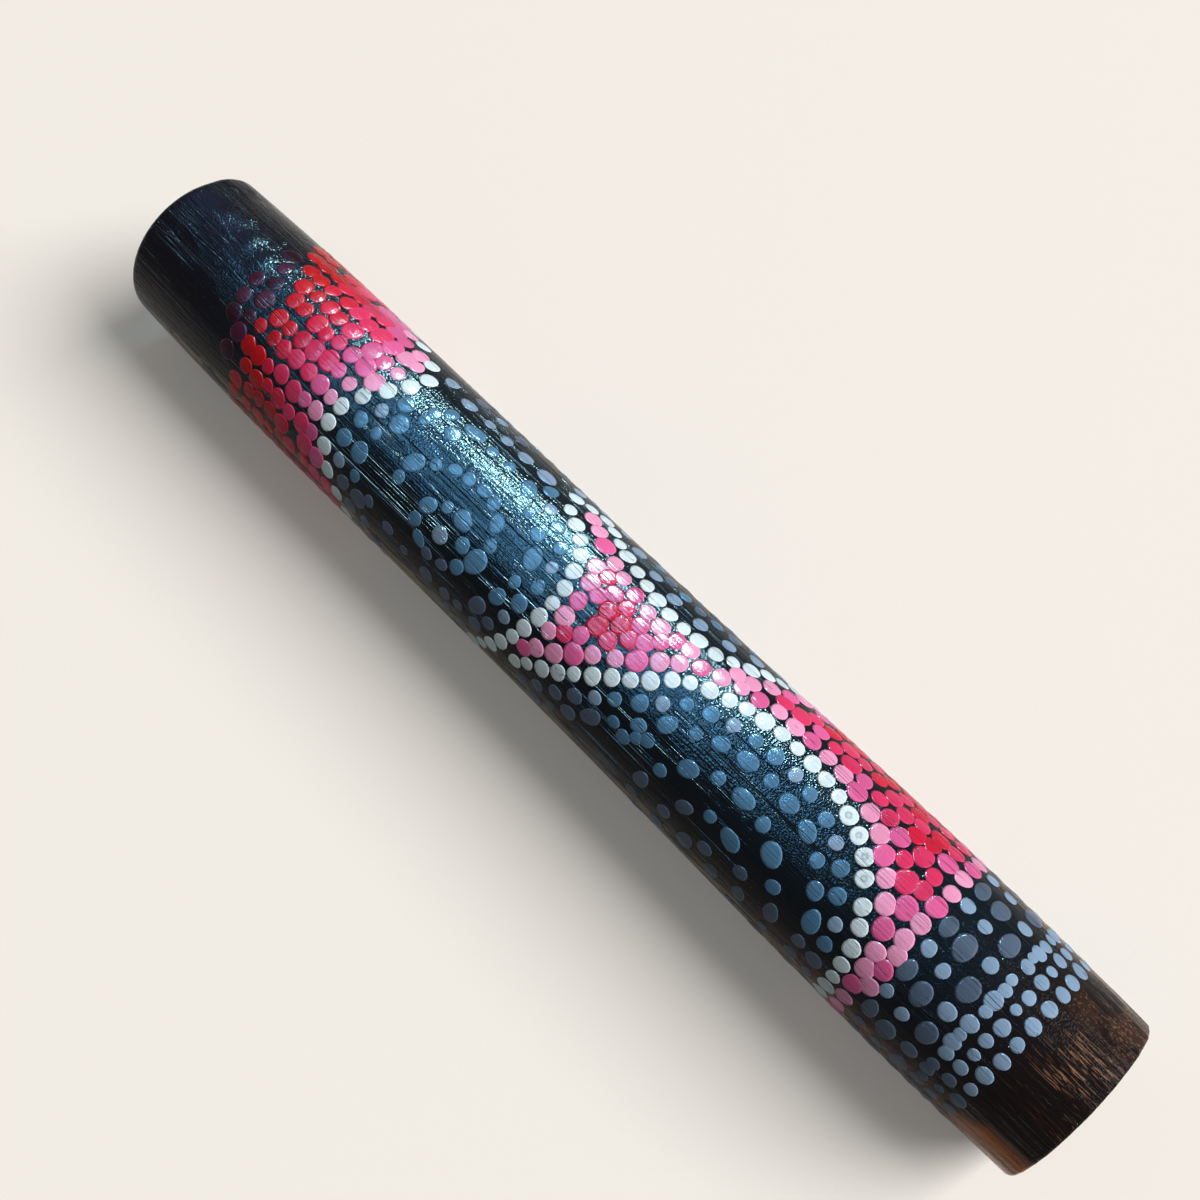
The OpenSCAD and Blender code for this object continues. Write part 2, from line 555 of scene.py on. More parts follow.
@dataclass(frozen=True)
class DiscFinish(Finish):
    """Stained wood of the end discs: off-centre growth rings, pores and a dull wax."""

    light: Colour = (0.115, 0.060, 0.030)
    dark: Colour = (0.036, 0.018, 0.010)
    heart: Stop = (0.021, -0.013)

    name = "disc_wood"
    specular = 0.02
    bump_strength = 0.5
    bump_depth = 0.00012

    def surface(self, bench: NodeBench) -> Surface:
        """Plans the wood of both discs."""
        place = bench.add("ShaderNodeTexCoord").outputs["Object"]
        mapping = bench.add("ShaderNodeMapping", {"Vector": place, "Location": (0.0, *self.heart)})
        inputs = {"Vector": mapping.outputs[0], "Scale": 210.0, "Distortion": 3.2, "Detail": 3.0}
        inputs["Detail Scale"] = 1.3
        shape = {"wave_type": "RINGS", "rings_direction": "X", "wave_profile": "SAW"}
        rings = bench.math("POWER", bench.add("ShaderNodeTexWave", inputs, **shape).outputs["Fac"], 2.0)
        pores = bench.ramp(bench.noise(1.0, 3200.0, 1.0), 0.58, 0.70)
        cloud = bench.noise(1.0, 160.0, 3.0)
        colour = bench.layers(
            self.light,
            (rings, 0.85, self.dark),
            (cloud, 0.5, self.dark),
            (pores, 0.7, scaled(self.dark, 0.4)),
        )
        height = bench.math("SUBTRACT", bench.product(rings, 0.5), pores)
        return colour, bench.ramp(rings, 0.0, 1.0, (0.55, 0.42)), height


@dataclass(frozen=True)
class SeedFinish(Finish):
    """Hard seed shell: brown, cloudy, with a waxy shine."""

    pale: Colour = (0.130, 0.062, 0.030)
    deep: Colour = (0.040, 0.018, 0.010)

    name = "seed_shell"
    bump_strength = 0.3
    bump_depth = 0.00008

    def surface(self, bench: NodeBench) -> Surface:
        """Plans the shell of every seed."""
        cloud = bench.ramp(bench.noise(1.0, 420.0, 3.0), 0.35, 0.65)
        speck = bench.ramp(bench.noise(1.0, 2600.0, 1.0), 0.55, 0.70)
        colour = bench.layers(self.deep, (cloud, 1.0, self.pale), (speck, 0.5, self.deep))
        return colour, bench.ramp(cloud, 0.0, 1.0, (0.28, 0.42)), speck


@dataclass(frozen=True)
class PaperFinish:
    """Cream paper of the floor, with a faint tooth; it throws little light back up at the culm."""

    cream: Colour = (0.905, 0.871, 0.815)
    bounce: Colour = (0.20, 0.19, 0.17)
    glow: float = 0.13
    tooth: float = 0.985

    def build(self) -> Material:
        """Makes the material of the floor."""
        material, bench, shader = new_material("cream_paper")
        lit = scaled(self.cream, 1 - self.glow)
        paper = bench.blend(bench.noise(1.0, 900.0, 2.0), scaled(lit, self.tooth), lit)
        seen = bench.seen()
        bench.fill(shader, {
            "Base Color": bench.blend(seen, self.bounce, paper),
            "Emission Color": bench.blend(seen, (0.0, 0.0, 0.0), scaled(self.cream, self.glow)),
            "Emission Strength": 1.0,
            "Roughness": 0.9,
            "Specular IOR Level": 0.0,
        })
        return material


def new_piece(name: str, bm: BMesh, material: Material) -> Object:
    """Turns a finished bmesh into an object at the origin.

    Args:
        name: Name of the piece.
        bm: The bmesh, which is freed.
        material: Material of the whole piece.

    Returns:
        The linked object.
    """
    for face in bm.faces:
        face.smooth = True
    mesh = bpy.data.meshes.new(name)
    bm.to_mesh(mesh)
    bm.free()
    mesh.materials.append(material)
    piece = bpy.data.objects.new(name, mesh)
    bpy.context.scene.collection.objects.link(piece)
    LOG.info("%s: %d faces", name, len(mesh.polygons))
    return piece


def mount(piece: Object, slot: str, *solids: str) -> None:
    """Lets a piece ride on the tube, and stand for its solids, if any."""
    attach(piece, BODY)
    if solids:
        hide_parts(*solids)


def raise_disc(bm: BMesh, radius: float, segments: int, low: float, high: float) -> bmesh.types.BMFace:
    """Models a plain disc between two heights.

    Args:
        bm: Empty bmesh that is drawn in.
        radius: Radius of the disc.
        segments: Corners round it.
        low: Height of its lower face.
        high: Height of its top face.

    Returns:
        The top face.
    """
    bmesh.ops.create_circle(bm, cap_ends=True, radius=radius, segments=segments)
    bmesh.ops.translate(bm, verts=bm.verts, vec=(0, 0, low))
    grown = bmesh.ops.extrude_face_region(bm, geom=bm.faces[:])["geom"]
    top_verts = [item for item in grown if isinstance(item, BMVert)]
    bmesh.ops.translate(bm, verts=top_verts, vec=(0, 0, high - low))
    bmesh.ops.recalc_face_normals(bm, faces=bm.faces)
    return next(item for item in grown if isinstance(item, bmesh.types.BMFace))


def bevel(bm: BMesh, edges: list[bmesh.types.BMEdge], size: float, segments: int = 2) -> None:
    """Rounds some edges."""
    bmesh.ops.bevel(
        bm, geom=edges, offset=size, segments=segments, profile=0.5, affect="EDGES", material=-1,
    )


@dataclass(frozen=True)
class CulmShape:
    """Outside form of the culm, with the profile of the solid model and a natural skin on it."""

    length: float = 0.250
    swell_d: float = 0.0376
    waist_d: float = 0.0367
    left_end_d: float = 0.0360
    right_end_d: float = 0.0354
    left_swell_at: float = 0.043
    right_swell_at: float = 0.045
    waist_x: float = 0.012
    flat_depth: float = 0.0002
    flute_depth: float = 0.00003
    flute_cells: Stop = (9.0, 22.0)
    knobs: Stops = ((-114.0, 57.0), (-110.6, 52.0), (-104.6, 62.0), (-98.5, 67.0))
    knob_height: float = 0.00019
    knob_spread: float = 0.0013
    knob_stretch: float = 0.8
    shoulder_height: float = 0.00045
    shoulder_x: float = -0.116
    shoulder_turns: Stop = (6.0, 52.0)
    shoulder_soft: float = 18.0
    ripple_height: float = 0.00020
    ripple_x: float = 0.112
    ripple_cells: Stop = (60.0, 9.0)
    ripple_shift: float = 5.0
    end_soft: float = 0.006
    ornament_turn: float = 15.8

    @property
    def end_x(self) -> float:
        """Place of the right end face, with the left one as far the other way."""
        return self.length / 2

    @property
    def axis_z(self) -> float:
        """Height of the culm's axis above the floor."""
        return self.swell_d / 2 - self.flat_depth

    @property
    def mean_r(self) -> float:
        """Radius on which the unrolled ornament is measured."""
        return (self.swell_d + self.waist_d) / 4

    def radius(self, x: float) -> float:
        """Radius of the smooth profile at x."""
        left_swell = self.left_swell_at - self.end_x
        right_swell = self.end_x - self.right_swell_at
        if x < left_swell:
            d = mix(self.swell_d, self.left_end_d, ((left_swell - x) / self.left_swell_at) ** 2)
        elif x < self.waist_x:
            d = mix(self.swell_d, self.waist_d, ease((x - left_swell) / (self.waist_x - left_swell)))
        elif x < right_swell:
            d = mix(self.waist_d, self.swell_d, ease((x - self.waist_x) / (right_swell - self.waist_x)))
        else:
            d = mix(self.swell_d, self.right_end_d, ((x - right_swell) / self.right_swell_at) ** 2)
        return d / 2

    def relief(self, x: float, angle: float) -> float:
        """Height of the natural skin over the smooth profile.

        Args:
            x: Place along the culm.
            angle: Angle round the culm, in radians from +Y towards +Z.

        Returns:
            The height, in metres, which may be below zero.
        """
        y = math.cos(angle)
        z = math.sin(angle)
        turn = (math.degrees(angle) - self.ornament_turn + 180) % 360 - 180
        along, round_it = self.flute_cells
        height = self.flute_depth * noise.noise(Vector((x * along, y * round_it, z * round_it)))
        for knob_x, knob_turn in self.knobs:
            across = math.radians(turn - knob_turn) * self.mean_r
            off = math.hypot(x - knob_x * MM, self.knob_stretch * across) / self.knob_spread
            height += self.knob_height * math.exp(-(off**2) / 2)
        shoulder = window(x, -self.length, self.shoulder_x, self.end_soft)
        shoulder *= window(turn, *self.shoulder_turns, self.shoulder_soft)
        height += self.shoulder_height * shoulder
        end = window(x, self.ripple_x, self.length, self.end_soft)
        along, round_it = self.ripple_cells
        ripple = noise.noise(Vector((x * along, y * round_it, z * round_it + self.ripple_shift)))
        return height + self.ripple_height * end * ripple

    def point(self, x: float, angle: float, lift: float) -> Vector:
        """Point at a height over the skin, at x and at an angle in radians from +Y towards +Z."""
        r = self.radius(x) + self.relief(x, angle) + lift
        return Vector((x, r * math.cos(angle), self.axis_z + r * math.sin(angle)))


@dataclass
class Culm:
    """The bamboo itself: a spun wall with rounded rims, rebates for the discs and a flat underside."""

    shape: CulmShape
    bore_r: float = 0.0145
    rebate_r: float = 0.0155
    rebate_depth: float = 0.006
    left_rim_r: float = 0.0016
    right_rim_r: float = 0.0007
    mouth_r: float = 0.00025
    rim_segments: int = 6
    skin_from: float = 0.0004
    skin_soft: float = 0.001
    around: int = 320
    along: int = 240

    def section(self, bm: BMesh) -> None:
        """Draws the half section of the wall above the axis, with its long outer edge cut fine."""
        left, right = -self.shape.end_x, self.shape.end_x
        clear = 1.6 * self.left_rim_r
        outside = [(x, self.shape.radius(x)) for x in (left, left + clear, right - clear, right)]
        corners = outside + [
            (right, self.rebate_r),
            (right - self.rebate_depth, self.rebate_r),
            (right - self.rebate_depth, self.bore_r),
            (left + self.rebate_depth, self.bore_r),
            (left + self.rebate_depth, self.rebate_r),
            (left, self.rebate_r),
        ]
        verts = [bm.verts.new((x, 0, self.shape.axis_z + r)) for x, r in corners]
        edges = [bm.edges.new((a, b)) for a, b in zip(verts, verts[1:] + verts[:1])]
        cut = bmesh.ops.subdivide_edges(bm, edges=[edges[1]], cuts=self.along)
        for vert in cut["geom_inner"]:
            if isinstance(vert, BMVert):
                vert.co.z = self.shape.axis_z + self.shape.radius(vert.co.x)

    def off_axis(self, vert: BMVert) -> float:
        """Distance of a vertex from the culm's axis."""
        return math.hypot(vert.co.y, vert.co.z - self.shape.axis_z)

    def ring(self, bm: BMesh, x: float, r: float) -> list[bmesh.types.BMEdge]:
        """Edges of the ring at one place and radius."""
        near = 10 * TOUCH
        found = {v for v in bm.verts if abs(v.co.x - x) < near and abs(self.off_axis(v) - r) < near}
        return [edge for edge in bm.edges if found.issuperset(edge.verts)]

    def build(self, material: Material) -> None:
        """Models the culm and dresses it with the lacquer."""
        bm = bmesh.new()
        self.section(bm)
        axis = Vector((0, 0, self.shape.axis_z))
        bmesh.ops.spin(
            bm, geom=bm.verts[:] + bm.edges[:], cent=axis, axis=(1, 0, 0),
            angle=math.tau, steps=self.around, use_merge=True,
        )
        bmesh.ops.remove_doubles(bm, verts=bm.verts, dist=TOUCH)
        bmesh.ops.recalc_face_normals(bm, faces=bm.faces)
        for x, rim_r in ((-self.shape.end_x, self.left_rim_r), (self.shape.end_x, self.right_rim_r)):
            bevel(bm, self.ring(bm, x, self.shape.radius(x)), rim_r, self.rim_segments)
            bevel(bm, self.ring(bm, x, self.rebate_r), self.mouth_r)
        self.roughen(bm)
        self.cut_flat(bm)
        mount(new_piece("culm", bm, material), "lacquered_bamboo", "bamboo_tube")

    def roughen(self, bm: BMesh) -> None:
        """Gives the outer skin its natural relief, fading out on the end faces."""
        for vert in bm.verts:
            out = self.off_axis(vert)
            skin = ease((out - self.rebate_r - self.skin_from) / self.skin_soft)
            if skin:
                angle = math.atan2(vert.co.z - self.shape.axis_z, vert.co.y)
                grown = 1 + skin * self.shape.relief(vert.co.x, angle) / out
                vert.co.y *= grown
                vert.co.z = self.shape.axis_z + (vert.co.z - self.shape.axis_z) * grown

    def cut_flat(self, bm: BMesh) -> None:
        """Cuts the flatter side that the culm lies on."""
        geom = bm.verts[:] + bm.edges[:] + bm.faces[:]
        cut = bmesh.ops.bisect_plane(
            bm, geom=geom, dist=TOUCH, plane_co=(0, 0, 0), plane_no=(0, 0, -1), clear_outer=True,
        )
        edges = [item for item in cut["geom_cut"] if isinstance(item, bmesh.types.BMEdge)]
        bmesh.ops.holes_fill(bm, edges=edges, sides=0)
        bmesh.ops.recalc_face_normals(bm, faces=bm.faces)


@dataclass
class EndDisc:
    """A wooden disc glued flush into one end of the culm."""

    name: str
    end_x: float
    inward: int
    axis_z: float
    radius: float = 0.0154
    thickness: float = 0.006
    inner_bevel: float = 0.0006
    outer_bevel: float = 0.00025
    segments: int = 96
    turning_marks: int = 9
    turned_share: float = 0.92
    mark_depth: float = 0.00004

    def build(self, material: Material) -> None:
        """Models the disc and dresses it with the stained wood."""
        bm = bmesh.new()
        raise_disc(bm, self.radius, self.segments, 0.0, self.thickness)
        for z, size in ((0.0, self.outer_bevel), (self.thickness, self.inner_bevel)):
            edges = [e for e in bm.edges if all(abs(v.co.z - z) < TOUCH for v in e.verts)]
            bevel(bm, edges, size)
        self.turn_face(bm)
        turn = Matrix.Rotation(math.radians(90 * self.inward), 4, "Y")
        bmesh.ops.transform(bm, verts=bm.verts, matrix=turn)
        bmesh.ops.translate(bm, verts=bm.verts, vec=(self.end_x, 0, self.axis_z))
        mount(new_piece(f"{self.name}_wood", bm, material), "disc_wood", self.name)

    def turn_face(self, bm: BMesh) -> None:
        """Leaves the lathe's shallow rings on the outer face."""
        face = min(bm.faces, key=lambda f: f.calc_center_median().z)
        step = self.turned_share * self.radius / self.turning_marks
        for index in range(self.turning_marks - 1):
            depth = self.mark_depth if index % 2 else -self.mark_depth
            bmesh.ops.inset_individual(bm, faces=[face], thickness=step, depth=depth)
        bmesh.ops.poke(bm, faces=[face])


@dataclass(frozen=True)
class Drop:
    """One dab of paint on the unrolled culm, in millimetres."""

    x: float
    w: float
    long: float
    wide: float
    lean: float
    paint: Paint
    form: Dab
    tone: float
    phase: float


@dataclass(frozen=True)
class Brush:
    """How a row is dabbed: paints and sizes are taken in turn, along the row."""

    paints: tuple[Paint, ...] = ()
    sizes: Stops = ()
    gap: float = 0.5
    form: Dab = Dab.DOMED
    crowd: float = 0.86
    loose: float = 1.0
    group: int = 0
    rest: float = 0.0


def rounds(*diameters: float) -> Stops:
    """Sizes of round dabs."""
    return tuple((d, d) for d in diameters)


def beside(line: np.ndarray, offset: float) -> np.ndarray:
    """Line that runs at an even distance beside another, left behind where it would fold back.

    Args:
        line: Points of the first line.
        offset: Distance between them, above zero on the side of growing angle for a line along +X.

    Returns:
        The points of the second line.
    """
    slope = np.gradient(line, axis=0)
    slope /= np.linalg.norm(slope, axis=1)[:, None]
    points = line + offset * np.stack((-slope[:, 1], slope[:, 0]), axis=1)
    return points[apart(points, line) > abs(offset) - 0.05]


def apart(points: np.ndarray, line: np.ndarray) -> np.ndarray:
    """Distance of each of some points from the nearest point of a line."""
    return np.linalg.norm(points[:, None] - line[None], axis=2).min(axis=1)


def wave(stops: Sequence[Stop], turn: float) -> float:
    """Reads an eased wave between extremes.

    Args:
        stops: Extremes as degrees round the culm and millimetres along it, by growing angle.
        turn: Angle at which the wave is read.

    Returns:
        Millimetres along the culm.
    """
    for (a, xa), (b, xb) in zip(stops, stops[1:]):
        if turn <= b:
            return mix(xa, xb, ease((turn - a) / (b - a)))
    return stops[-1][1]


def inside(outline: np.ndarray, x: float, w: float) -> bool:
    """Whether a point lies inside a closed outline, by counting crossings."""
    x0, w0 = outline.T
    x1, w1 = np.roll(outline, -1, axis=0).T
    crossing = (w0 > w) != (w1 > w)
    with np.errstate(divide="ignore", invalid="ignore"):
        at = x0 + (w - w0) * (x1 - x0) / (w1 - w0)
    return bool(np.count_nonzero(crossing & (at > x)) % 2)


class Painter:
    """Lays one dab after another, on the seen half of the culm and mirrored on the other half."""

    # Degrees round the culm past which the blues are laid as slate, a painted shade for the darker low side
    shade_turn = 128.0
    # How far a hand strays in size, as a share, and in place, in millimetres
    stray_size = 0.06
    stray_place = 0.16
    # Millimetres between the points of a line, and ahead to where a row's direction is read
    line_step = 0.2
    ahead = 0.3

    def __init__(self, mean_r: float, seed: int) -> None:
        """Starts with a bare culm, its mean radius in metres, and a seed for the hand's accidents."""
        self.per_degree = math.radians(1) * mean_r / MM
        self.rng = random.Random(seed)
        self.drops: list[Drop] = []
        self.places = np.zeros((0, 3))

    def line(self, *stops: Stop) -> np.ndarray:
        """Draws a smooth line through a few stops.

        Args:
            *stops: Places as millimetres along the culm and degrees round it.

        Returns:
            Points of the line on the unrolled culm, a fifth of a millimetre or so apart.
        """
        ends = [stops[0], *stops, stops[-1]]
        knots = np.array([(x, turn * self.per_degree) for x, turn in ends])
        points = []
        for before, start, end, after in zip(knots, knots[1:], knots[2:], knots[3:]):
            count = max(int(np.hypot(*(end - start)) / self.line_step), 2)
            for t in np.linspace(0, 1, count, endpoint=False):
                slope_in = (end - before) / 2
                slope_out = (after - start) / 2
                rest = start * (2 * t**3 - 3 * t**2 + 1) + end * (3 * t**2 - 2 * t**3)
                points.append(rest + slope_in * (t**3 - 2 * t**2 + t) + slope_out * (t**3 - t**2))
        return np.array(points + [knots[-1]])

    def free(self, x: float, w: float, size: float, crowd: float) -> bool:
        """Whether a dab of a size fits at a place without crowding older ones."""
        girth = 360 * self.per_degree
        ways = np.abs(self.places[:, 1] - w) % girth
        gaps = np.hypot(self.places[:, 0] - x, np.minimum(ways, girth - ways))
        return bool(np.all(gaps > crowd * (self.places[:, 2] + size) / 2))

    def dab(self, x: float, w: float, size: Stop, paint: Paint, brush: Brush, lean: float = 0.0) -> None:
        """Lays one dab and its mirror image, where there is room.

        Args:
            x: Millimetres along the culm.
            w: Millimetres round the culm.
            size: Length along the row and width across it.
            paint: Colour of the dab.
            brush: Gives the form and how near to older dabs it may come.
            lean: Direction of the row, in radians from +X.
        """
        hand = self.rng.uniform
        grow = 1 + self.stray_size * brush.loose * hand(-1, 1)
        shift_x = self.stray_place * brush.loose * hand(-1, 1)
        shift_w = self.stray_place * brush.loose * hand(-1, 1)
        tone = self.rng.random()
        phase = hand(0, math.tau)
        long, wide = size[0] * grow, size[1] * grow
        # Painted shade: blue dabs low on the culm are laid in darker slate
        if abs(w) > self.shade_turn * self.per_degree and paint in (Paint.BLUE, Paint.PALE_BLUE):
            paint = Paint.SLATE
        for side in (1, -1):
            place = (x + shift_x, side * (w + shift_w))
            if self.free(*place, min(long, wide), brush.crowd):
                drop = Drop(*place, long, wide, side * lean, paint, brush.form, tone, side * phase)
                self.drops.append(drop)
                self.places = np.vstack((self.places, (*place, min(long, wide))))

    def row(self, line: np.ndarray, brush: Brush) -> None:
        """Dabs a row along a line, each dab at its gap from the one before."""
        steps = np.linalg.norm(np.diff(line, axis=0), axis=1)
        run = np.concatenate(([0.0], np.cumsum(steps)))
        sizes = itertools.cycle(brush.sizes)
        paints = itertools.cycle(brush.paints)
        size = next(sizes)
        at = size[0] / 2
        for count in itertools.count(1):
            if at > run[-1]:
                break
            x, w = (float(np.interp(at, run, way)) for way in line.T)
            next_x, next_w = (float(np.interp(at + self.ahead, run, way)) for way in line.T)
            self.dab(x, w, size, next(paints), brush, math.atan2(next_w - w, next_x - x))
            later = next(sizes)
            at += (size[0] + later[0]) / 2 + brush.gap
            if brush.group and count % brush.group == 0:
                at += brush.rest
            size = later


class Motif(ABC):
    """A part of the ornament."""

    @abstractmethod
    def paint(self, painter: Painter) -> None:
        """Dabs the motif."""


@dataclass(frozen=True)
class Rows(Motif):
    """Rows along smooth lines, each with its own brush."""

    rows: tuple[tuple[Stops, Brush], ...]

    def paint(self, painter: Painter) -> None:
        """Dabs one row after another."""
        for stops, brush in self.rows:
            painter.row(painter.line(*stops), brush)


@dataclass(frozen=True)
class Collar(Motif):
    """Red collar at the left: columns round the culm that fade from white to red, with a plum stain."""

    white_edge: Stops = ((0, -70.0), (48, -54.0), (108, -61.5), (180, -50.0))
    red_edge: Stops = ((0, -97.5), (85, -86.6), (180, -88.5))
    columns: int = 13
    column_step: float = 3.7
    dab_step: float = 4.3
    white_size: Stop = (3.7, 3.7)
    white_brush: Brush = Brush(crowd=0.8)
    red_brush: Brush = Brush(crowd=0.66, loose=3.2)
    top_swell: float = 1.22
    side_swell: float = 0.98
    side_turn: float = 70.0
    # Turns over which the paints shift towards red, and how far: a painted shade on the low side
    shade_turns: Stop = (110.0, 150.0)
    shade_depth: float = 0.30
    stain_brush: Brush = Brush((Paint.PLUM,), rounds(3.9, 3.3, 4.3), 0.5, crowd=0.62, loose=3.0)
    stain: tuple[Stops, ...] = (
        ((-97.0, 44), (-92.0, 76), (-90.8, 100), (-91.2, 134)),
        ((-96.4, 74), (-94.8, 92), (-94.6, 112)),
    )
    fade: tuple[tuple[float, Paint, float], ...] = (
        (0.20, Paint.LIGHT_PINK, 4.0),
        (0.37, Paint.PINK, 4.2),
        (0.60, Paint.ROSE, 4.4),
        (0.80, Paint.CRIMSON, 4.1),
        (1.06, Paint.RED, 3.9),
    )

    def paint(self, painter: Painter) -> None:
        """Dabs the collar, the white edge first."""
        turns = np.linspace(0, 180, 361)
        edge = [wave(self.white_edge, turn) for turn in turns]
        places = np.arange(0.5 * self.dab_step, 180 * painter.per_degree, self.dab_step)
        for column in range(self.columns):
            for w in map(float, places):
                x = float(np.interp(w, turns * painter.per_degree, edge)) - column * self.column_step
                if column:
                    self.red_dab(painter, x, w)
                else:
                    painter.dab(x, w, self.white_size, Paint.WHITE, self.white_brush)
        Rows(tuple((stops, self.stain_brush) for stops in self.stain)).paint(painter)

    def red_dab(self, painter: Painter, x: float, w: float) -> None:
        """Lays one dab, with its paint chosen by how far it lies from the white edge, moved towards red low
        on the culm as painted shade.
        """
        turn = w / painter.per_degree
        white = wave(self.white_edge, turn)
        share = (white - x) / (white - wave(self.red_edge, turn))
        most = self.fade[-1][0]
        if share < most:
            start, end = self.shade_turns
            low = min(max((turn - start) / (end - start), 0.0), 1.0)
            depth = min(share + self.shade_depth * low, most - 0.01)
            paint, size = next((paint, size) for limit, paint, size in self.fade if depth < limit)
            size *= mix(self.top_swell, self.side_swell, min(turn / self.side_turn, 1.0))
            painter.dab(x, w, (size, size), paint, self.red_brush)


@dataclass(frozen=True)
class CollarTrim(Motif):
    """Blue rows that follow the collar's white edge, and short rows along the top of the culm."""

    from_turn: float = 66.0
    edge_rows: tuple[tuple[float, Brush], ...] = (
        (4.8, Brush((Paint.BLUE, Paint.PALE_BLUE, Paint.BLUE), rounds(3.7, 3.1, 3.5), 1.4)),
        (9.4, Brush((Paint.BLUE,), ((2.7, 2.6), (4.3, 4.0), (2.9, 2.8), (4.6, 4.3)), 1.4)),
    )
    top_rows: Rows = Rows((
        (((-59.5, 24), (-49, 35)), Brush((Paint.PALE_BLUE,), rounds(3.8, 3.5), 2.6)),
        (((-47, 22), (-28, 22)), Brush((Paint.SLATE, Paint.PALE_BLUE), ((3.7, 3.4), (2.9, 2.8)), 2.6)),
        (((-47, 37), (-22, 36)), Brush(
            (Paint.PALE_BLUE,), ((4.4, 3.5), (3.2, 2.7), (3.1, 2.7), (3.8, 3.6)), 2.0, loose=2.0,
        )),
        (((-46, 53), (-12, 51)), Brush(
            (Paint.BLUE,), ((3.0, 3.0), (5.0, 3.2), (2.8, 2.7)), 2.0, loose=2.0,
        )),
        (((-53, 61), (-38, 63)), Brush(
            (Paint.BLUE,), ((3.0, 2.8), (3.0, 2.8), (4.2, 3.6)), 2.2, loose=2.0,
        )),
    ))

    def paint(self, painter: Painter) -> None:
        """Dabs the trim."""
        turns = np.linspace(self.from_turn, 180, 300)
        for offset, brush in self.edge_rows:
            line = [(wave(Collar.white_edge, turn) + offset, turn * painter.per_degree) for turn in turns]
            painter.row(np.array(line), brush)
        self.top_rows.paint(painter)


@dataclass(frozen=True)
class Whorl(Motif):
    """A curl of blue dabs that winds in to one pale dab, with loose dabs under it."""

    middle: Stop = (-27.3, 114.5)
    middle_size: Stop = (3.7, 3.4)
    curl: Stops = (
        (-42.0, 111), (-41.6, 95), (-37.5, 84), (-30.5, 77), (-23.0, 78), (-19.4, 88), (-17.8, 101),
        (-19.3, 116), (-24.0, 128), (-29.0, 129), (-33.4, 121), (-34.0, 111), (-31.5, 101), (-27.0, 97.5),
        (-23.6, 101), (-22.4, 110),
    )
    curl_sizes: Stops = (
        (2.9, 2.8), (5.4, 4.2), (3.1, 3.0), (3.6, 2.6), (3.0, 2.8), (3.5, 2.5), (3.2, 3.1), (4.5, 3.4),
    )
    under: Stops = ((-46, 132), (-36, 140), (-22, 146), (-10, 143))
    under_brush: Brush = Brush((Paint.SLATE, Paint.BLUE), ((2.6, 2.6), (3.7, 3.2)), 3.0, loose=2.6)

    def paint(self, painter: Painter) -> None:
        """Dabs the pale middle, the curl from the outside in, and the loose dabs under it."""
        x, turn = self.middle
        painter.dab(x, turn * painter.per_degree, self.middle_size, Paint.PALE_BLUE, Brush())
        curl_brush = Brush((Paint.BLUE,), self.curl_sizes, 0.4, crowd=0.8, loose=2.0)
        Rows(((self.curl, curl_brush), (self.under, self.under_brush))).paint(painter)


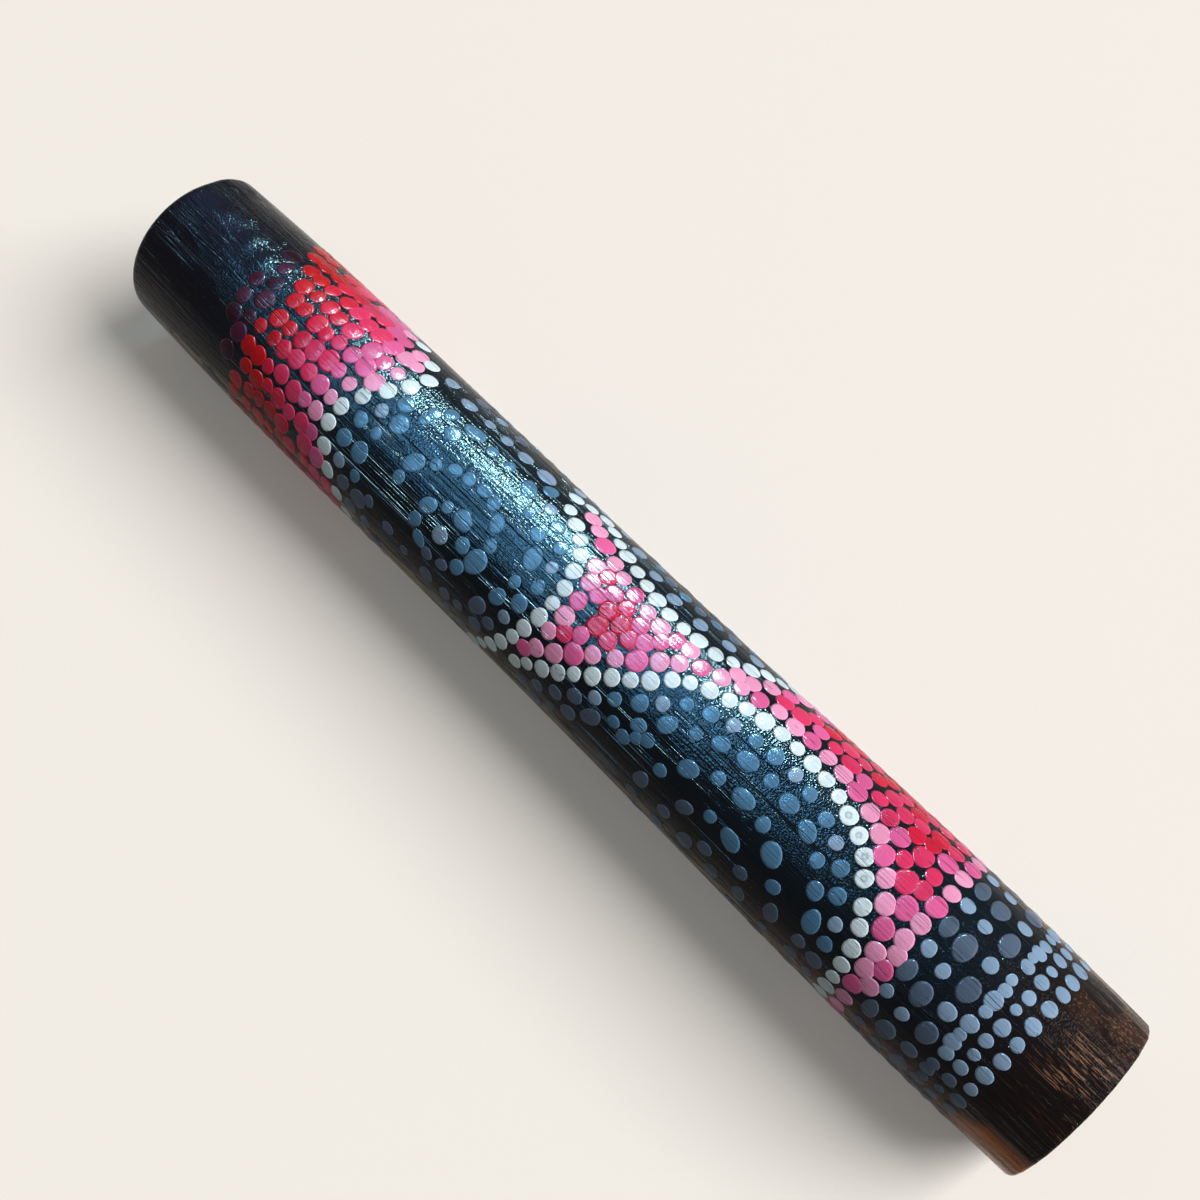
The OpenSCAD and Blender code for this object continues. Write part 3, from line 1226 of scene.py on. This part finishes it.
@dataclass(frozen=True)
class PinkField(Motif):
    """The large field: a pointed lozenge, a link, and a lobe that fades to red on top of the culm."""

    left_edge: Stops = (
        (-17, 31), (-13.4, 43), (-9, 50), (-5, 60), (-2.5, 73), (-1.2, 90),
        (-1.5, 110), (-3.5, 130), (-7, 149), (-12, 166), (-14, 182),
    )
    upper_edge: Stops = (
        (-17, 31), (-9, 21), (-2.6, 32), (4, 41), (13, 48.6), (21, 49.5), (27, 47),
        (33, 37), (36, 27), (39.5, 17), (42, 0),
    )
    lower_edge: Stops = (
        (-2, 148), (1, 139), (8, 125), (15, 107), (22, 91), (27, 75), (34, 66), (39, 60.5), (46.5, 57),
        (55, 57.5), (63, 63), (70, 73), (76, 92), (79.5, 108), (81, 130), (81.5, 153), (81.5, 180),
    )
    heart: Stops = ((5.5, 76), (12.5, 77), (11, 86.5), (5.5, 87))
    run: Stops = ((24.5, 127), (28.5, 117), (31.5, 109))
    right_x: float = 89.4
    foot_turn: float = 148.0
    row_step: float = 3.6
    row_slack: float = 0.4
    hole_step: float = 0.7
    hole_size: Stop = (3.8, 3.8)
    near_row: float = 4.2
    far_row: float = 8.2
    fade: tuple[tuple[Paint, ...], ...] = (
        (Paint.LIGHT_PINK, Paint.LIGHT_PINK, Paint.PINK),
        (Paint.PINK, Paint.ROSE, Paint.ROSE),
        (Paint.ROSE, Paint.ROSE, Paint.CRIMSON),
        (Paint.CRIMSON, Paint.ROSE),
        (Paint.CRIMSON, Paint.RED),
        (Paint.RED,),
    )

    def paint(self, painter: Painter) -> None:
        """Dabs the white edges, fills the field between them, then trims it with blue rows."""
        white = Brush((Paint.WHITE,), rounds(3.4, 3.1, 3.7), 0.35)
        ringed = Brush((Paint.WHITE,), rounds(3.7, 3.5), 0.25, Dab.DIMPLED)
        Rows((
            (self.upper_edge, white),
            (self.left_edge, white),
            (self.lower_edge[:11], white),
            (self.lower_edge[12:], white),
            (self.lower_edge[10:13], ringed),
        )).paint(painter)
        self.fill(painter)
        self.trim(painter)

    def edges(self, painter: Painter) -> list[np.ndarray]:
        """Lines of the upper, the left and the lower edge."""
        return [painter.line(*stops) for stops in (self.upper_edge, self.left_edge, self.lower_edge)]

    def fill(self, painter: Painter) -> None:
        """Fills the field with rows that follow its edges, from the edges inwards."""
        painter.row(painter.line(*self.heart), Brush((Paint.CRIMSON,), rounds(4.3), -0.5, crowd=0.6))
        upper, left, lower = self.edges(painter)
        left = left[:np.count_nonzero(left[:, 1] < self.foot_turn * painter.per_degree)]
        right = painter.line((self.right_x, 0), (self.right_x, 90), (self.right_x, 180))
        outline = np.vstack((upper[::-1], left, lower, right[::-1]))
        borders = np.vstack((upper, left, lower, right))
        for index, paints in enumerate(self.fade):
            depth = (index + 1) * self.row_step
            brush = Brush(paints, rounds(4.0, 3.7, 4.2), 0.1, crowd=0.78, loose=1.8)
            for edge, inward in ((lower, -1), (right, 1), (upper, 1), (left, -1)):
                line = beside(edge, inward * depth)
                line = line[apart(line, borders) > depth - self.row_slack]
                kept = [place for place in line if inside(outline, *place)]
                if len(kept) > 2:
                    painter.row(np.array(kept), brush)
        self.close_holes(painter, outline, borders)

    def close_holes(self, painter: Painter, outline: np.ndarray, borders: np.ndarray) -> None:
        """Dabs the bare places that the rows leave in the field.

        Args:
            painter: Lays the dabs.
            outline: Closed outline of the field.
            borders: Points of its painted edges.
        """
        brush = Brush(crowd=0.76)
        (low_x, low_w), (high_x, high_w) = outline.min(axis=0), outline.max(axis=0)
        across = np.arange(low_w, high_w, self.hole_step)
        for x, w in itertools.product(np.arange(low_x, high_x, self.hole_step), across):
            if painter.free(x, w, self.row_step, brush.crowd) and inside(outline, x, w):
                depth = np.linalg.norm(borders - (x, w), axis=1).min() / self.row_step
                if depth > 0.7:
                    paints = self.fade[min(int(depth - 0.5), len(self.fade) - 1)]
                    painter.dab(float(x), float(w), self.hole_size, painter.rng.choice(paints), brush)

    def trim(self, painter: Painter) -> None:
        """Dabs the blue rows outside the white edges."""
        above = Brush((Paint.PALE_BLUE,), rounds(3.5, 3.0, 3.3), 3.4, loose=1.6)
        near = Brush((Paint.BLUE, Paint.PALE_BLUE, Paint.BLUE), rounds(3.4, 2.8, 3.1), 1.5, loose=1.6)
        far = Brush((Paint.BLUE,), ((4.9, 3.6), (2.9, 2.8), (3.8, 3.2)), 1.5, loose=1.6)
        painter.row(painter.line(*self.run), Brush((Paint.BLUE,), rounds(3.3, 2.6, 3.0), -0.4, crowd=0.5))
        upper, left, lower = self.edges(painter)
        painter.row(beside(upper, -self.near_row), above)
        for edge in (left, lower):
            painter.row(beside(edge, self.near_row), near)
            painter.row(beside(edge, self.far_row), far)


@dataclass(frozen=True)
class Hoops(Motif):
    """Blue half hoops, one inside another, on the dark field below the lobe."""

    x: float = 49.4
    turn: float = 152.0
    radii: tuple[float, ...] = (17.2, 10.2, 3.6)
    span: Stop = (150.0, 390.0)
    brush: Brush = Brush(
        (Paint.BLUE,), ((4.9, 3.8), (3.1, 3.1), (4.5, 3.2), (2.8, 2.8)), 1.8, loose=1.6,
    )

    def paint(self, painter: Painter) -> None:
        """Dabs the hoops from the outside in."""
        w = self.turn * painter.per_degree
        angles = np.linspace(*map(math.radians, self.span), 160)
        for r in self.radii:
            line = [(self.x + r * math.cos(a), w + r * math.sin(a)) for a in angles]
            painter.row(np.array(line), self.brush)


def end_rings() -> Rows:
    """Plain rings of dabs round the right end, coarse to fine."""
    pale = (Paint.PALE_BLUE,)
    rings = (
        (89.7, Brush((Paint.SLATE, Paint.PALE_BLUE), ((4.4, 3.1), (2.9, 2.8)), 1.6, crowd=0.72)),
        (94.0, Brush((Paint.SLATE, Paint.PALE_BLUE), ((5.2, 3.9), (2.9, 2.8)), 1.3)),
        (98.9, Brush((Paint.PALE_BLUE, Paint.SLATE), ((3.2, 3.2), (5.0, 3.9)), 1.3)),
        (103.0, Brush(
            pale, rounds(3.1, 2.3, 3.0, 2.4, 2.8), -0.45, crowd=0.5, loose=2.0, group=4, rest=1.3,
        )),
        (106.5, Brush(pale, rounds(2.7, 2.2, 2.9), 0.9, loose=1.4)),
        (110.1, Brush(pale, rounds(3.1, 2.7, 3.2), 1.0, loose=1.4)),
    )
    return Rows(tuple((((x, 0), (x - 0.5, 90), (x, 180)), brush) for x, brush in rings))


def far_side() -> Rows:
    """Nested ovals and plain rows in the black fields of the side that faces away."""
    brush = Brush((Paint.SLATE, Paint.BLUE), rounds(3.3, 2.7, 3.0), 1.3, loose=1.4)
    lines = (
        ((2.0, 2.0), (7.0, 19.0), (17.0, 25.0), (27.0, 19.0), (32.0, 2.0)),
        ((10.0, 2.0), (17.0, 10.0), (24.0, 2.0)),
        ((-46.0, 8.0), (-30.0, 6.0), (-14.0, 8.0)),
    )
    return Rows(tuple((stops, brush) for stops in lines))


@dataclass
class Ornament:
    """All the dabs on the culm, one piece for each paint."""

    shape: CulmShape
    thickness: float = 0.00005
    spread: float = 0.00002
    floor_room: float = 0.0001
    segments: int = 16
    wall: Stop = (-0.9, 0.25)
    shoulder: Stop = (0.20, 0.65)
    dome: float = 2.2
    dimple: Stops = ((0.34, 0.1), (0.16, -0.9))
    dimple_middle: float = 0.3
    dimple_bare: float = 0.45
    wobbles: Stop = (0.035, 0.025)
    motifs: tuple[Motif, ...] = (
        PinkField(), Collar(), end_rings(), Whorl(), CollarTrim(), Hoops(), far_side(),
    )

    def template(self, form: Dab) -> bpy.types.Mesh:
        """Models one dab of unit radius and height, sunk a little below its base.

        Args:
            form: Form that the dab dries to.

        Returns:
            A mesh with its pooled rim and thin middle marked in attributes.
        """
        bm = bmesh.new()
        pool = bm.verts.layers.float.new("pool")
        thin = bm.verts.layers.float.new("thin")
        bm.verts.layers.float.new("tone")
        top = raise_disc(bm, 1.0, self.segments, *self.wall)
        for vert in bm.verts:
            vert[pool] = 1.0
        bmesh.ops.inset_individual(bm, faces=[top], thickness=self.shoulder[0], depth=self.shoulder[1])
        for vert in top.verts:
            vert[pool] = POOL_EDGE
        if form is Dab.DIMPLED:
            for thickness, depth in self.dimple:
                bmesh.ops.inset_individual(bm, faces=[top], thickness=thickness, depth=depth)
            for vert in top.verts:
                vert[thin] = self.dimple_bare
        middle = bmesh.ops.poke(bm, faces=[top], offset=0.0)["verts"][0]
        middle.co.z += self.dome if form is Dab.DOMED else self.dimple_middle
        middle[pool] = 0.0
        middle[thin] = 0.0
        mesh = bpy.data.meshes.new(f"dab_{form.value}")
        bm.to_mesh(mesh)
        bm.free()
        return mesh

    def angle(self, w: float) -> float:
        """Angle round the culm, in radians from +Y towards +Z, of a place on the unrolled culm."""
        return w * MM / self.shape.mean_r + math.radians(self.shape.ornament_turn)

    def stamp(self, bm: BMesh, drop: Drop, template: bpy.types.Mesh) -> None:
        """Presses one dab onto the culm's skin, higher for a higher tone, so that overlaps don't mix.

        Args:
            bm: Bmesh that collects the dabs of one paint.
            drop: The dab.
            template: Unit dab.
        """
        start = len(bm.verts)
        bm.from_mesh(template)
        bm.verts.ensure_lookup_table()
        tone = bm.verts.layers.float["tone"]
        cos_lean = math.cos(drop.lean)
        sin_lean = math.sin(drop.lean)
        oval, lobed = self.wobbles
        for vert in bm.verts[start:]:
            u, v, h = vert.co
            angle = math.atan2(v, u)
            wobble = 1 + oval * math.sin(2 * angle + drop.phase) + lobed * math.sin(3 * angle - drop.phase)
            u *= drop.long / 2 * wobble
            v *= drop.wide / 2 * wobble
            x = (drop.x + u * cos_lean - v * sin_lean) * MM
            turn = self.angle(drop.w + u * sin_lean + v * cos_lean)
            vert.co = self.shape.point(x, turn, h * self.thickness + self.spread * drop.tone)
            vert[tone] = drop.tone

    def clear_of_floor(self, drop: Drop) -> bool:
        """Whether a dab stays above the plane that the culm lies on."""
        reach = max(drop.long, drop.wide) / 2
        turns = [self.angle(drop.w + side * reach) for side in (-1, 0, 1)]
        points = [self.shape.point(drop.x * MM, turn, 2 * self.thickness) for turn in turns]
        return all(point.z >= self.floor_room for point in points)

    def build(self, grain: NodeTree) -> None:
        """Plans the ornament, models the dabs, and dresses them in paints that share the grain."""
        painter = Painter(self.shape.mean_r, SEED)
        for motif in self.motifs:
            motif.paint(painter)
        templates = {form: self.template(form) for form in Dab}
        drops = [drop for drop in painter.drops if self.clear_of_floor(drop)]
        for paint in Paint:
            bm = bmesh.new()
            for drop in drops:
                if drop.paint is paint:
                    self.stamp(bm, drop, templates[drop.form])
            bmesh.ops.recalc_face_normals(bm, faces=bm.faces)
            material = PaintFinish(grain, paint).build()
            mount(new_piece(paint.slot.replace("paint", "dabs"), bm, material), paint.slot)
        for mesh in templates.values():
            bpy.data.meshes.remove(mesh)


def dress_seeds(nodes: dict[str, Object], material: Material) -> None:
    """Gives every loose seed its shell, on the shape of its solid."""
    seeds = [node for name, node in nodes.items() if name.startswith("seed_")]
    for seed in seeds:
        seed.data.materials.clear()
        seed.data.materials.append(material)
    LOG.info("seeds dressed: %d", len(seeds))


@dataclass(frozen=True)
class Lamp:
    """One soft light.

    It shines from a direction, looks a number of degrees wide along the culm and across it, and would give
    the floor its share of the light. A sheen lamp is seen only in glossy surfaces and lights no floor.
    """

    name: str
    way: tuple[float, float, float]
    along: float
    across: float
    share: float
    colour: Colour
    sheen: bool = True


@dataclass
class Studio:
    """Paper floor, soft lights and the camera, placed as in the photograph."""

    axis_z: float
    floor_size: float = 30.0
    camera_at: tuple[float, float, float] = (0.08276, -0.07420, 0.26179)
    camera_aim: tuple[float, float, float] = (-0.00076, 0.00539, 0.0)
    lens: float = 42.98
    sensor_width: float = 36.0
    lamp_distance: float = 14.0
    lamps: tuple[Lamp, ...] = (
        Lamp("main", (0.52, 0.50, 0.69), 37.0, 37.0, 0.96, (1.0, 0.988, 0.978), sheen=False),
        Lamp("window", (-0.33, 0.653, 0.682), 12.0, 11.0, 7.4, (0.42, 0.86, 1.0)),
        Lamp("pane_high", (-0.32, 0.24, 0.92), 20.0, 8.0, 2.5, (0.16, 0.54, 1.0)),
        Lamp("pane_middle", (-0.32, -0.10, 0.942), 20.0, 8.0, 2.1, (0.16, 0.54, 1.0)),
        Lamp("pane_low", (-0.31, -0.42, 0.853), 20.0, 8.0, 1.3, (0.16, 0.54, 1.0)),
        Lamp("pane_left", (-0.62, 0.48, 0.62), 20.0, 20.0, 0.13, (0.24, 0.40, 1.0)),
    )
    wall: Colour = (1.0, 0.975, 0.94)
    wall_share: float = 0.60
    world_share: float = 0.16

    def reach(self, degrees: float) -> float:
        """Size that looks a number of degrees wide at the lamps' distance."""
        return 2 * self.lamp_distance * math.tan(math.radians(degrees / 2))

    def place(self, name: str, data: bpy.types.ID) -> Object:
        """Puts a light or a camera into the scene."""
        placed = bpy.data.objects.new(name, data)
        bpy.context.scene.collection.objects.link(placed)
        return placed

    def hang(self, lamp: Lamp) -> None:
        """Hangs one soft light, aimed at the culm, with the power that its share of the light needs."""
        data = bpy.data.lights.new(lamp.name, "AREA")
        data.shape = "RECTANGLE"
        data.size = self.reach(lamp.across)
        data.size_y = self.reach(lamp.along)
        way = Vector(lamp.way).normalized()
        along = (Vector((1, 0, 0)) - way * way.x).normalized()
        data.energy = lamp.share * (math.pi * self.lamp_distance) ** 2 / way.z
        data.color = lamp.colour
        hung = self.place(lamp.name, data)
        hung.location = way * self.lamp_distance + Vector((0, 0, self.axis_z))
        hung.rotation_euler = Matrix((along.cross(way), along, way)).transposed().to_euler()
        hung.visible_diffuse = not lamp.sheen

    def surround(self) -> None:
        """Lays the paper floor, and makes a world that looks like a plain wall but gives little light."""
        bm = bmesh.new()
        bmesh.ops.create_grid(bm, x_segments=1, y_segments=1, size=self.floor_size / 2)
        new_piece("floor", bm, PaperFinish().build())
        world = bpy.data.worlds.new("studio")
        world.use_nodes = True
        bench = NodeBench(world.node_tree)
        strength = bench.ramp(bench.seen(), 0.0, 1.0, (self.world_share, self.wall_share))
        bench.fill(world.node_tree.nodes["Background"], {"Color": rgba(self.wall), "Strength": strength})
        bpy.context.scene.world = world

    def build(self) -> None:
        """Sets up floor, world, lights and camera."""
        scene = bpy.context.scene
        scene.view_settings.view_transform = "Standard"
        self.surround()
        for lamp in self.lamps:
            self.hang(lamp)
        data = bpy.data.cameras.new("camera")
        data.lens = self.lens
        data.sensor_width = self.sensor_width
        camera = self.place("camera", data)
        camera.location = Vector(self.camera_at) + Vector((0, 0, self.axis_z))
        look = Vector(self.camera_aim) - Vector(self.camera_at)
        camera.rotation_euler = look.to_track_quat("-Z", "Y").to_euler()
        scene.camera = camera


def main() -> None:
    """Builds every piece in order and sets the stage."""
    logging.basicConfig(level=logging.INFO, format="%(name)s: %(message)s")
    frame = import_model()
    shape = CulmShape()
    grain = BambooGrain(shape.axis_z).build()
    Culm(shape).build(LacquerFinish(grain, shape.axis_z).build())
    disc_wood = DiscFinish().build()
    EndDisc("left_end_disc", -shape.end_x, 1, shape.axis_z).build(disc_wood)
    EndDisc("right_end_disc", shape.end_x, -1, shape.axis_z).build(disc_wood)
    Ornament(shape).build(grain)
    dress_seeds(frame["nodes"], SeedFinish().build())
    Studio(shape.axis_z).build()


if __name__ == "__main__":
    main()
